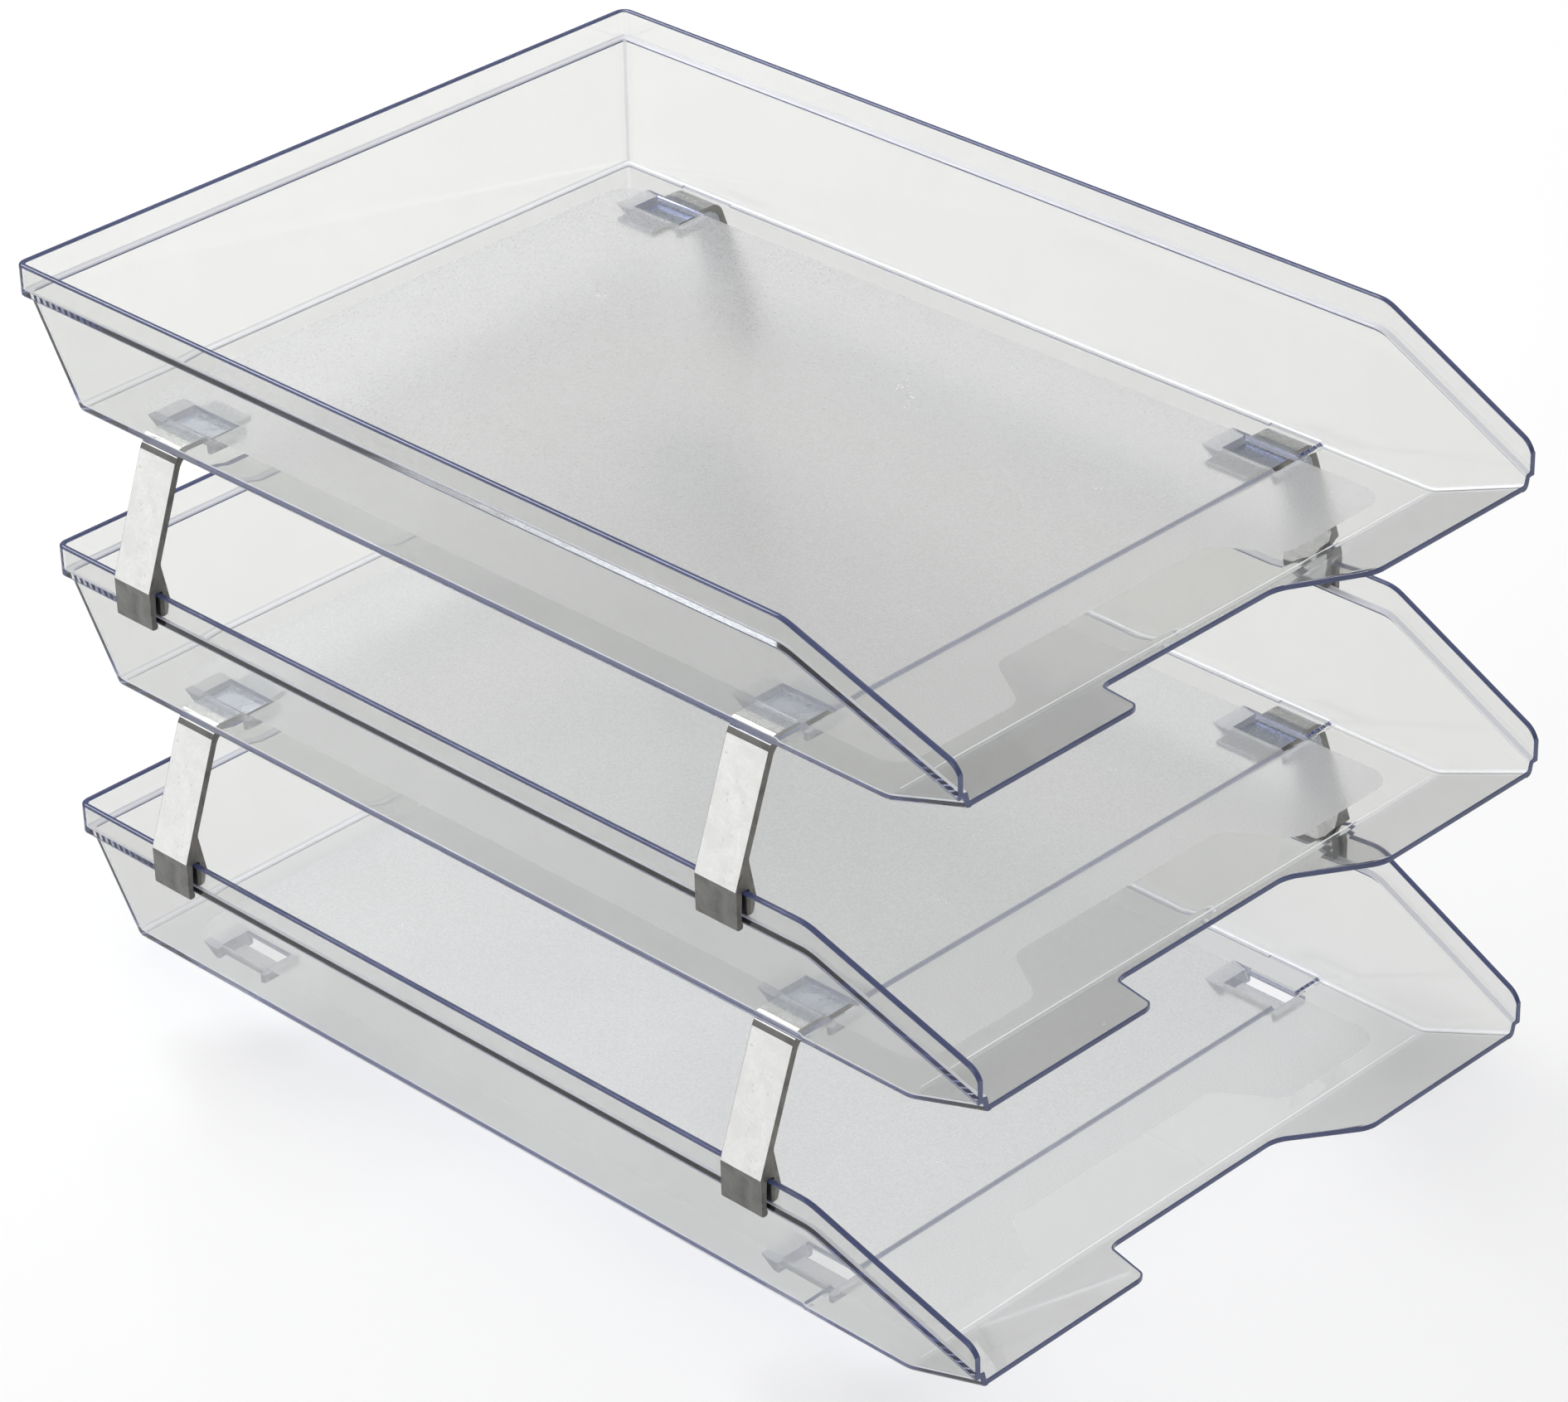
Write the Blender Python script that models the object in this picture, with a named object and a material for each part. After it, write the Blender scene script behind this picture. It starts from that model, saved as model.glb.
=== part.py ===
"""Three-tier letter tray: clear one-piece trays on clip-on metal risers.

Metres in the scene; the driving dimensions below are in millimetres.
+X right, +Y back, +Z up.  The stack opens towards -Y.
"""
import math

import bmesh
import bpy
from mathutils import Vector

MM = 0.001

# ---- stack ----
PITCH = 93.5                      # tier to tier
FOOT_DROP = 2.75                  # riser pockets hang this far below the wall edge
TIER_Y = (-1.75, -3.25, 3.25)       # the tiers sit slightly out of line, front to back
TIER_NAMES = ("bottom", "middle", "top")

# ---- tray ----
TRAY_W = 255.0                    # over the rim
TRAY_L = 380.0                    # back rim to front tips
TRAY_H = 50.5                     # wall edge to rim top
WALL_T = 2.05
BAND_H = 10.4                     # outer rim band height
BAND_STEP = 2.05                  # band stands this far outboard of the wall
RIM_T = 2.0
LEDGE_DEPTH = 8.7                 # inside ledge below rim top
WALL_INSET = 10.75                # wall foot inboard of the rim
WALL_LEAN = (WALL_INSET - BAND_STEP) / (TRAY_H - BAND_H)
BEND_S = 320.7                    # rim starts to drop here, from the back
RIM_SLOPE = 0.424
TIP_R = 4.0
TIP_S = 379.7
FOLD_S = 349.0                    # front lip turns up here
LIP_SLOPE = 0.369
CREASE_S = (306.9, 308.1)         # floor steps down here
FLOOR_MAIN = (0.9, 2.9)           # underside, top
FLOOR_FRONT = (0.25, 2.1)
NOTCH_IN_S = 354.7                # finger cut-out
NOTCH_IN_X = 37.0
NOTCH_OUT_X = 50.5
NOTCH_R = 6.0

# ---- riser pockets ----
POCKET_S = (48.6, 297.6)          # centres, from the back
POCKET_HALF = 10.4
WINDOW_X = (92.5, 103.3)
HOUSING_X = (91.0, 105.5)
HOUSING_T = 1.6
STRAP_X = (94.0, 102.0)
STRAP_TOP = -1.6
CHANNEL_TOP = 0.8
FOOT_NOTCH = 0.55

# ---- risers ----
RISER_W = 16.4
RISER_S = (46.7, 295.7)           # centres, from the back of the tray they carry
ARM_END_X = 84.5
ARM_Z = (-1.3, 0.5)
LEG_RUN = 0.364                   # outward run per unit of drop
LEG_T = 2.46                      # measured level
KINK = (130.3, -41.7)
FORK_OUT_Z = -54.6
FORK_IN_Z = -51.3
SLOT_X = (125.15, 127.85)
SLOT_TOP = -42.7
WEDGE_Z = -33.6
BEND_R_OUT = 5.2
BEND_R_IN = 6.0

HALF_W = TRAY_W / 2
ARC_STEPS = 5
FILLET_STEPS = 5


def clear_scene():
    for obj in list(bpy.data.objects):
        bpy.data.objects.remove(obj, do_unlink=True)


def make_material(name, colour, roughness, metallic):
    mat = bpy.data.materials.new(name)
    mat.use_nodes = True
    bsdf = mat.node_tree.nodes["Principled BSDF"]
    bsdf.inputs["Base Color"].default_value = (*colour, 1.0)
    bsdf.inputs["Roughness"].default_value = roughness
    bsdf.inputs["Metallic"].default_value = metallic
    mat.diffuse_color = (*colour, 1.0)
    return mat


def finish_object(name, bm, material):
    bmesh.ops.recalc_face_normals(bm, faces=bm.faces)
    mesh = bpy.data.meshes.new(name)
    bm.to_mesh(mesh)
    bm.free()
    obj = bpy.data.objects.new(name, mesh)
    bpy.context.scene.collection.objects.link(obj)
    if material is not None:
        obj.data.materials.append(material)
    return obj


def fillet(corners, steps=FILLET_STEPS):
    """Round a closed polygon; corners are (x, y, radius)."""
    out = []
    n = len(corners)
    for i in range(n):
        x, y, r = corners[i]
        p = Vector((x, y))
        a = Vector(corners[i - 1][:2]) - p
        b = Vector(corners[(i + 1) % n][:2]) - p
        if r <= 0:
            out.append((x, y))
            continue
        a.normalize()
        b.normalize()
        half = 0.5 * a.angle(b)
        reach = r / math.tan(half)
        centre = p + (a + b).normalized() * (r / math.sin(half))
        start = p + a * reach - centre
        end = p + b * reach - centre
        turn = math.atan2(start.x * end.y - start.y * end.x, start.dot(end))
        for k in range(steps + 1):
            t = turn * k / steps
            c = math.cos(t)
            s = math.sin(t)
            out.append((centre.x + start.x * c - start.y * s, centre.y + start.x * s + start.y * c))
    return out


def prism(points, lo, hi, axis):
    """Extrude a 2-D outline: axis 'y' takes (x, z) points, axis 'z' takes (x, y)."""
    bm = bmesh.new()
    loops = []
    for level in (lo, hi):
        if axis == "y":
            loops.append([bm.verts.new((x * MM, level * MM, z * MM)) for x, z in points])
        else:
            loops.append([bm.verts.new((x * MM, y * MM, level * MM)) for x, y in points])
    n = len(points)
    for i in range(n):
        j = (i + 1) % n
        bm.faces.new((loops[0][i], loops[0][j], loops[1][j], loops[1][i]))
    bm.faces.new(loops[0])
    bm.faces.new(loops[1])
    return bm


def box_outline(x0, x1, y0, y1):
    return [(x0, y0), (x1, y0), (x1, y1), (x0, y1)]


def from_back(s):
    return TRAY_L / 2 - s


def soft(x, half):
    """Zero below, straight above, rounded in between."""
    if x <= -half:
        return 0.0
    if x >= half:
        return x
    return (x + half) ** 2 / (4 * half)


def rim_line(s):
    return TRAY_H - RIM_SLOPE * soft(s - BEND_S, 3.0)


def rim_top(s):
    drop = 0.0
    over = s - (TIP_S - TIP_R)
    if over > 0:
        drop = TIP_R - math.sqrt(max(TIP_R ** 2 - over ** 2, 0.0))
    return rim_line(s) - drop


def lip_rise(s):
    return LIP_SLOPE * soft(s - FOLD_S, 2.5)


def wall_in(z):
    """Outer wall face, inboard of the rim line, at height z."""
    return WALL_INSET - WALL_LEAN * z


def wall_section(s):
    """(inset, height, plan corner radius) round the wall, starting at the foot outside."""
    z0 = lip_rise(s)
    zt = rim_top(s)
    zb = rim_line(s) - BAND_H
    zl = rim_line(s) - LEDGE_DEPTH
    outer = wall_in(zb) - BAND_STEP
    return [
        (wall_in(z0), z0, 2.5),
        (wall_in(zb), zb, 2.8),
        (outer, zb, 3.5),
        (outer, zt, 3.5),
        (outer + RIM_T, zt, 1.6),
        (outer + RIM_T, zl, 1.6),
        (wall_in(zl) + WALL_T, zl - 0.3, 1.6),
        (wall_in(z0) + WALL_T, z0, 1.3),
    ]


def side_stations():
    out = [20.0] + [BEND_S + k for k in (-3.0, -1.0, 1.0, 3.0)] + [FOLD_S + k for k in (-2.5, 0.0, 2.5)]
    for k in range(6):
        ang = math.radians(90.0 * k / 5)
        out.append(TIP_S - TIP_R + TIP_R * math.sin(ang))
    return out


def wall_bmesh():
    sides = side_stations()
    rings = []
    for s in reversed(sides):
        rings.append([(-(HALF_W - d), from_back(s), z) for d, z, r in wall_section(s)])
    for start in (180.0, 90.0):
        for k in range(ARC_STEPS + 1):
            ang = math.radians(start - 90.0 * k / ARC_STEPS)
            ring = []
            for d, z, r in wall_section(0.0):
                cx = HALF_W - d - r
                if start > 100:
                    cx = -cx
                ring.append((cx + r * math.cos(ang), from_back(d + r) + r * math.sin(ang), z))
            rings.append(ring)
    for s in sides:
        rings.append([(HALF_W - d, from_back(s), z) for d, z, r in wall_section(s)])
    bm = bmesh.new()
    rows = [[bm.verts.new((x * MM, y * MM, z * MM)) for x, y, z in ring] for ring in rings]
    n = len(rows[0])
    for a, b in zip(rows, rows[1:]):
        for i in range(n):
            j = (i + 1) % n
            bm.faces.new((a[i], a[j], b[j], b[i]))
    bm.faces.new(rows[0])
    bm.faces.new(list(reversed(rows[-1])))
    return bm


def floor_top(s):
    main = FLOOR_MAIN[1]
    front = FLOOR_FRONT[1]
    t = min(max((s - CREASE_S[0]) / (CREASE_S[1] - CREASE_S[0]), 0.0), 1.0)
    return main + (front - main) * t + lip_rise(s)


def floor_under(s):
    main = FLOOR_MAIN[0]
    front = FLOOR_FRONT[0]
    t = min(max((s - CREASE_S[0]) / (CREASE_S[1] - CREASE_S[0]), 0.0), 1.0)
    return main + (front - main) * t + lip_rise(s)


def floor_half(s):
    mid = 0.5 * (floor_top(s) + floor_under(s))
    return HALF_W - (wall_in(mid) + 0.5 * WALL_T)


def lip_outline():
    """Plan outline (x, s) of the lip beyond the fold, left to right, with the cut-out."""
    corners = [
        (-floor_half(TRAY_L), TRAY_L, 0.0),
        (-NOTCH_OUT_X, TRAY_L, NOTCH_R),
        (-NOTCH_IN_X, NOTCH_IN_S, NOTCH_R),
        (NOTCH_IN_X, NOTCH_IN_S, NOTCH_R),
        (NOTCH_OUT_X, TRAY_L, NOTCH_R),
        (floor_half(TRAY_L), TRAY_L, 0.0),
        (floor_half(TRAY_L), FOLD_S + 2.5, 0.0),
        (-floor_half(TRAY_L), FOLD_S + 2.5, 0.0),
    ]
    return fillet(corners)[:-2]


def floor_bmesh():
    bm = bmesh.new()
    start = wall_in(1.5) + 0.5 * WALL_T
    stations = [start, CREASE_S[0], CREASE_S[1]] + [FOLD_S + k for k in (-2.5, -1.25, 0.0, 1.25, 2.5)]

    def vert(x, s, z):
        return bm.verts.new((x * MM, from_back(s) * MM, z * MM))

    rows = []
    for s in stations:
        w = floor_half(s)
        top = floor_top(s)
        under = floor_under(s)
        rows.append((vert(-w, s, top), vert(w, s, top), vert(w, s, under), vert(-w, s, under)))
    bm.faces.new(rows[0])
    for a, b in zip(rows, rows[1:]):
        for i in range(4):
            j = (i + 1) % 4
            bm.faces.new((a[i], a[j], b[j], b[i]))
    outline = lip_outline()
    tops = [vert(x, s, floor_top(s)) for x, s in outline]
    unders = [vert(x, s, floor_under(s)) for x, s in outline]
    fold = rows[-1]
    bm.faces.new([fold[0]] + tops + [fold[1]])
    bm.faces.new([fold[3]] + unders + [fold[2]])
    for i in range(len(tops) - 1):
        bm.faces.new((tops[i], tops[i + 1], unders[i + 1], unders[i]))
    bm.faces.new((fold[0], tops[0], unders[0], fold[3]))
    bm.faces.new((tops[-1], fold[1], fold[2], unders[-1]))
    return bm


def boolean(obj, other, operation):
    other.hide_render = True
    other.display_type = "WIRE"
    mod = obj.modifiers.new(operation.lower(), "BOOLEAN")
    mod.operation = operation
    mod.solver = "EXACT"
    mod.object = other


def bake(obj, tools):
    """Apply the modifier stack and drop the tool bodies."""
    graph = bpy.context.evaluated_depsgraph_get()
    mesh = bpy.data.meshes.new_from_object(obj.evaluated_get(graph))
    obj.modifiers.clear()
    obj.data = mesh
    for tool in tools:
        bpy.data.objects.remove(tool, do_unlink=True)


def tidy_mesh(mesh):
    bm = bmesh.new()
    bm.from_mesh(mesh)
    bmesh.ops.remove_doubles(bm, verts=bm.verts, dist=0.000005)
    bmesh.ops.dissolve_limit(bm, angle_limit=math.radians(0.05), verts=bm.verts, edges=bm.edges)
    bmesh.ops.triangulate(bm, faces=bm.faces)
    bmesh.ops.recalc_face_normals(bm, faces=bm.faces)
    bm.to_mesh(mesh)
    bm.free()


def pocket_cut_outline(sign):
    """Cross-section through a riser pocket: window above, riser channel, strap below."""
    pts = [
        (HOUSING_X[0] - 2.0, CHANNEL_TOP),
        (WINDOW_X[0], CHANNEL_TOP),
        (WINDOW_X[0], 6.0),
        (WINDOW_X[1], 6.0),
        (WINDOW_X[1], CHANNEL_TOP),
        (HOUSING_X[1] + 2.0, CHANNEL_TOP),
        (HOUSING_X[1] + 2.0, -4.0),
        (STRAP_X[1], -4.0),
        (STRAP_X[1], STRAP_TOP),
        (STRAP_X[0], STRAP_TOP),
        (STRAP_X[0], -4.0),
        (HOUSING_X[0] - 2.0, -4.0),
    ]
    return [(sign * x, z) for x, z in pts]


def build_tray_mesh():
    body = finish_object("tray_form", wall_bmesh(), None)
    slab = finish_object("floor_form", floor_bmesh(), None)
    tools = [slab]
    boolean(body, slab, "UNION")
    for sign in (-1.0, 1.0):
        for s in POCKET_S:
            lo = from_back(s + POCKET_HALF + HOUSING_T)
            hi = from_back(s - POCKET_HALF - HOUSING_T)
            outline = box_outline(sign * HOUSING_X[0], sign * HOUSING_X[1], lo, hi)
            block = finish_object("housing_form", prism(outline, -FOOT_DROP, 1.5, "z"), None)
            tools.append(block)
            boolean(body, block, "UNION")
            lo = from_back(s + POCKET_HALF)
            hi = from_back(s - POCKET_HALF)
            cut = finish_object("pocket_form", prism(pocket_cut_outline(sign), lo, hi, "y"), None)
            tools.append(cut)
            boolean(body, cut, "DIFFERENCE")
            outline = box_outline(sign * 112.0, sign * 119.0, lo - 0.4, hi + 0.4)
            foot = finish_object("foot_form", prism(outline, -1.0, FOOT_NOTCH, "z"), None)
            tools.append(foot)
            boolean(body, foot, "DIFFERENCE")
    bake(body, tools)
    tidy_mesh(body.data)
    mesh = body.data
    bpy.data.objects.remove(body, do_unlink=True)
    return mesh


def leg_out(z):
    return KINK[0] - LEG_RUN * (z - KINK[1])


def riser_outline():
    corners = [
        (ARM_END_X, ARM_Z[1], 0.3),
        (leg_out(ARM_Z[1]), ARM_Z[1], BEND_R_OUT),
        (KINK[0], KINK[1], 0.8),
        (KINK[0], FORK_OUT_Z, 0.8),
        (SLOT_X[1], FORK_OUT_Z, 0.75),
        (SLOT_X[1], FORK_OUT_Z + 1.55, 0.7),
        (SLOT_X[1] + 0.55, FORK_OUT_Z + 2.6, 0.5),
        (SLOT_X[1], SLOT_TOP, 0.4),
        (SLOT_X[0], SLOT_TOP, 0.4),
        (SLOT_X[0], FORK_IN_Z, 0.5),
        (122.7, FORK_IN_Z, 0.8),
        (121.9, -48.4, 2.0),
        (leg_out(WEDGE_Z) - LEG_T, WEDGE_Z, 3.0),
        (leg_out(ARM_Z[0]) - LEG_T, ARM_Z[0], BEND_R_IN),
        (ARM_END_X, ARM_Z[0], 0.3),
    ]
    return fillet(corners, 6)


def build_riser(name, sign, y, z, material):
    outline = [(sign * x, h) for x, h in riser_outline()]
    obj = finish_object(name, prism(outline, -RISER_W / 2, RISER_W / 2, "y"), material)
    mesh = obj.data
    for poly in mesh.polygons:
        poly.use_smooth = len(poly.vertices) == 4
    mesh.set_sharp_from_angle(angle=math.radians(30))
    obj.location = (0.0, y * MM, z * MM)
    return obj


def main():
    clear_scene()
    clear = make_material("clear_plastic", (0.80, 0.83, 0.84), 0.08, 0.0)
    metal = make_material("riser_metal", (0.72, 0.73, 0.74), 0.32, 1.0)
    tray_mesh = build_tray_mesh()
    for tier, name in enumerate(TIER_NAMES):
        mesh = tray_mesh.copy()
        mesh.name = "tray_" + name
        mesh.materials.clear()
        mesh.materials.append(clear)
        tray = bpy.data.objects.new("tray_" + name, mesh)
        bpy.context.scene.collection.objects.link(tray)
        tray.location = (0.0, TIER_Y[tier] * MM, (FOOT_DROP + tier * PITCH) * MM)
    for tier, level in ((1, "lower"), (2, "upper")):
        for end, s in zip(("back", "front"), RISER_S):
            for side, sign in (("left", -1.0), ("right", 1.0)):
                name = "riser_" + level + "_" + end + "_" + side
                y = TIER_Y[tier] + from_back(s)
                build_riser(name, sign, y, FOOT_DROP + tier * PITCH, metal)


main()
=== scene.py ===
"""Letter tray stack: three clear one-piece trays on eight bent metal risers.

Lengths are millimetres unless a name says otherwise; the scene itself is in metres.
+X right, +Y back, +Z up.  "s" is the distance forward from a tray's back rim.
"""

import math

import bmesh
import bpy
from mathutils import Matrix, Vector
from mathutils.geometry import delaunay_2d_cdt


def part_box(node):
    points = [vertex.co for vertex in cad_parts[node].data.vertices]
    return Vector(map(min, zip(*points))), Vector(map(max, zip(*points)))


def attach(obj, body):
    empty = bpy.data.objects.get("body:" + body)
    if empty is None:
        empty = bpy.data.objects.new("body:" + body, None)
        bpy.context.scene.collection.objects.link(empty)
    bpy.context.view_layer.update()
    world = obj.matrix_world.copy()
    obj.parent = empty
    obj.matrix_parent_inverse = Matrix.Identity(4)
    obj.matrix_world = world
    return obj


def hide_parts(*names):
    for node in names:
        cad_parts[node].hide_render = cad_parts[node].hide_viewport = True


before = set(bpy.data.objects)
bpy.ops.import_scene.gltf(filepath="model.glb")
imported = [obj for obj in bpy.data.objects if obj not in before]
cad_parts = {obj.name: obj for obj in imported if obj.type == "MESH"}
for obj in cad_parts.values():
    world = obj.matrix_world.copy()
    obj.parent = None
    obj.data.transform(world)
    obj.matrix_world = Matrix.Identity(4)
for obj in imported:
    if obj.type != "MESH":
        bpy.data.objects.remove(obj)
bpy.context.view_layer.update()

MM = 0.001
TIERS = ("bottom", "middle", "top")
LEVELS = (("middle", "lower"), ("top", "upper"))

# ---- tray ----
TRAY_W = 255.0
TRAY_L = 380.0
TRAY_H = 50.5
FOOT_DROP = 2.75
HALF_W = TRAY_W / 2
WALL_T = 2.05
BAND_H = 10.4
BAND_STEP = 2.05
RIM_T = 2.0
LEDGE_DEPTH = 8.7
WALL_INSET = 10.75
WALL_LEAN = (WALL_INSET - BAND_STEP) / (TRAY_H - BAND_H)
BEND_S = 320.7
BEND_SOFT = 3.0                   # half length of the rounding where the rim turns down
BEND_STEPS = (-1.0, -0.5, 0.0, 0.5, 1.0)
RIM_SLOPE = 0.424
TIP_R = 4.0
TIP_STEPS = 7
FOOT_STEP_R = 0.38                # the foot step's rounding, as a share of its height
FOLD_S = 349.0
LIP_SLOPE = 0.369
CREASE = (306.5, 308.0)
FLOOR_MAIN = (0.9, 2.9)
FLOOR_FRONT = (0.25, 2.1)
NOTCH_IN = (37.0, 354.7)
NOTCH_OUT_X = 50.5
NOTCH_R = 6.0
NOTCH_STEPS = 10
WALL_STATIONS = (20.0, 150.0, 250.0)      # extra sections along the straight sides
SEAM = 17.0                       # inset where the lofted walls meet the floor's plan
EDGE_R = 0.35                     # rounding of the lip's front edge
CORNER_STEPS = 8
CREASE_STEPS = (0.0, 0.25, 0.5, 0.75, 1.0)
FOLD_STEPS = (-1.0, -0.5, -0.1, 0.1, 0.5, 1.0)
FOLD_R = 2.5
FOLD_PAINTED_GLINT = 0.08                 # share of FOLD_R either side of the fold that gets a painted highlight
TOLERANCE = 0.001                 # of the floor's triangulation
WELD_SHELL = 0.000005             # metres
WELD_CUTS = 0.000002              # metres
TRAY_SHARP = 32                   # degrees

# ---- frosted finish, painted shade and painted highlights of a tray's faces, carried as face attributes ----
# frost is the plastic's real finish; edge and pocket shade are painted shade, the crease is frosted
# with painted shade, the glint is a painted highlight
CLEAR, FROST, EDGE_SHADE, PAINTED_GLINT, CREASE_FROST_AND_SHADE, POCKET_SHADE = range(6)
FINISH_AND_PAINTED_LIGHT = {
    "frost": {FROST: 1.0, CREASE_FROST_AND_SHADE: 1.0},
    "edge": {EDGE_SHADE: 1.0, CREASE_FROST_AND_SHADE: 0.5, POCKET_SHADE: 0.3},
    "painted_glint": {PAINTED_GLINT: 1.0},
}
EDGE_SHADE_FACES = (*range(16, 25), *range(26, 35))     # places in section() with painted shade: band bottom, rim top
PAINTED_GLINT_FACES = (*range(1, 10), *range(36, 45), *range(46, 50))     # places in section() with a painted highlight: foot step, ledge, wall foot
WALL_FACE = 45
CORNER_PAINTED_GLINT = (2, 3, 4, 5)       # strips of a back corner with a painted highlight

# ---- frosted floor ----
FROST_X = 103.0
FROST_S = (24.0, 342.0)
PATCH = ((45.0, 322.5), (57.0, 342.0))
FROST_R = 9.0
PATCH_R = 7.0

# ---- riser pockets ----
POCKET_S = (48.6, 297.6)
POCKET_HALF = 10.4
WINDOW_X = (92.5, 103.3)
HOUSING_X = (91.0, 105.5)
HOUSING_T = 1.6
HOUSING_TOP = 1.3                 # inside the floor, so that the two merge
HOUSING_RAMP = 6.0
HOUSING_DRAFT = 0.5
HOUSING_R = 0.7
WINDOW_R = 0.3
HOUSING_RIM_Z = 1.0               # the rounded rim of a housing lies below this
FLAT = 0.1                        # an edge with less run in x lies in an end face
WINDOW_NEAR = 0.5                 # how far outside a pocket a window edge may lie
WINDOW_EDGE = (1.5, 50, 2.0)      # its least length, least angle in degrees, and least z
CUT_PAST = 2.0                    # how far the pocket's cutter reaches past the housing
CUT_Z = (-4.0, 6.0)
STRAP_X = (94.0, 102.0)
STRAP_TOP = -1.6
CHANNEL_TOP = 0.8
FOOT_NOTCH = 0.55
FOOT_X = (112.0, 119.0)
FOOT_PAST = 0.4
FOOT_LOW = -1.0

# ---- risers ----
RISER_W = 16.4
RISER_ROUND = 0.22                # rounding of the two cut edges
ROUND_MID = 0.29                  # how far in a rounding is half way round, in radii
BEAD = ((0.0, 1.55), (0.55, 2.6))         # lip inside the fork's mouth, from its foot
FORK_FOOT_X = 122.7
FORK_WAIST = (121.9, -48.4)
FORK_SHADE_BELOW = 0.2                  # the fork's painted shade starts this far under the kink
RISER_STEPS = 10
RISER_SHARP = 35                  # degrees
ARM_END_X = 84.5
ARM_FACE_X = 108.0                # the arm's top face ends here
ARM_Z = (-1.3, 0.5)
LEG_RUN = 0.364
LEG_T = 2.46
KINK = (130.3, -41.7)
FORK_OUT_Z = -54.6
FORK_IN_Z = -51.3
SLOT_X = (125.15, 127.85)
SLOT_TOP = -42.7
WEDGE_Z = -33.6
BEND_R_OUT = 5.2
BEND_R_IN = 6.0

# ---- riser materials, places in the list of materials: one metal, with painted shade on the forks and the arm and a painted highlight on the bend ----
BRIGHT, FORK_SHADE, CUT, ARM_SHADE, BEND_HIGHLIGHT = range(5)
BEND_SHADE_END = 3                      # last faces of the bend, with the forks' painted shade
ALONG = (1.0, 0.06, 1.0)          # brushed front to back
ACROSS = (0.1, 1.0, 1.0)          # brushed left to right

SPARED = 0.85                     # share of the absorption that shadow and diffuse rays skip

# ---- camera, in metres and degrees ----
CAMERA_AT = (-1.04851, -1.05195, 0.98002)
CAMERA_AZIMUTH = -44.92
CAMERA_ELEVATION = 30.395
CAMERA_ROLL = -1.456
CAMERA_LENS = 130.15

# ---- studio floor, in metres ----
GROUND_RADIUS = 6.0
GROUND_GAP = 0.0004               # below the stack, so that the two do not meet


# ---------------------------------------------------------------- outlines
def fillet(corners, steps=5, closed=True):
    """Round the corners of a polygon; corners are (x, y, radius), the rest is passed along."""
    out = []
    n = len(corners)
    for i, corner in enumerate(corners):
        x, y, r = corner[:3]
        extra = tuple(corner[3:])
        end = not closed and i in (0, n - 1)
        if r <= 0 or end:
            out.append((x, y) + extra)
            continue
        p = Vector((x, y))
        a = (Vector(corners[i - 1][:2]) - p).normalized()
        b = (Vector(corners[(i + 1) % n][:2]) - p).normalized()
        half = 0.5 * a.angle(b)
        reach = r / math.tan(half)
        centre = p + (a + b).normalized() * (r / math.sin(half))
        start = p + a * reach - centre
        stop = p + b * reach - centre
        turn = math.atan2(start.x * stop.y - start.y * stop.x, start.dot(stop))
        for k in range(steps + 1):
            t = turn * k / steps
            c = math.cos(t)
            s = math.sin(t)
            x2 = centre.x + start.x * c - start.y * s
            y2 = centre.y + start.x * s + start.y * c
            out.append((x2, y2) + extra)
    return out


def shrink(points, amount, closed=True):
    """Move the points of an outline inwards; the outline runs anticlockwise."""
    out = []
    n = len(points)
    for i in range(n):
        p = Vector(points[i][:2])
        a = Vector(points[i - 1][:2]) if closed or i > 0 else None
        b = Vector(points[(i + 1) % n][:2]) if closed or i < n - 1 else None
        sides = []
        if a is not None:
            sides.append((p - a).normalized())
        if b is not None:
            sides.append((b - p).normalized())
        normals = [Vector((-d.y, d.x)) for d in sides]
        mean = sum(normals, Vector((0.0, 0.0))).normalized()
        p = p + mean * (amount / max(mean.dot(normals[0]), 0.5))
        out.append((p.x, p.y) + tuple(points[i][2:]))
    return out


def soft(x, half):
    """Zero below, straight above, rounded in between."""
    if x <= -half:
        return 0.0
    if x >= half:
        return x
    return (x + half) ** 2 / (4 * half)


def rim_line(s):
    return TRAY_H - RIM_SLOPE * soft(s - BEND_S, BEND_SOFT)


def rim_top(s):
    over = s - (TRAY_L - TIP_R)
    if over <= 0:
        return rim_line(s)
    return rim_line(s) - TIP_R + math.sqrt(max(TIP_R ** 2 - over ** 2, 0.0))


def lip_rise(s):
    return LIP_SLOPE * soft(s - FOLD_S, FOLD_R)


def wall_in(z):
    return WALL_INSET - WALL_LEAN * z


def step_down(s):
    t = min(max((s - CREASE[0]) / (CREASE[1] - CREASE[0]), 0.0), 1.0)
    return t * t * (3 - 2 * t)


def floor_top(s):
    return FLOOR_MAIN[1] + (FLOOR_FRONT[1] - FLOOR_MAIN[1]) * step_down(s) + lip_rise(s)


def floor_under(s):
    return FLOOR_MAIN[0] + (FLOOR_FRONT[0] - FLOOR_MAIN[0]) * step_down(s) + lip_rise(s)


def from_back(s):
    return TRAY_L / 2 - s


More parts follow.
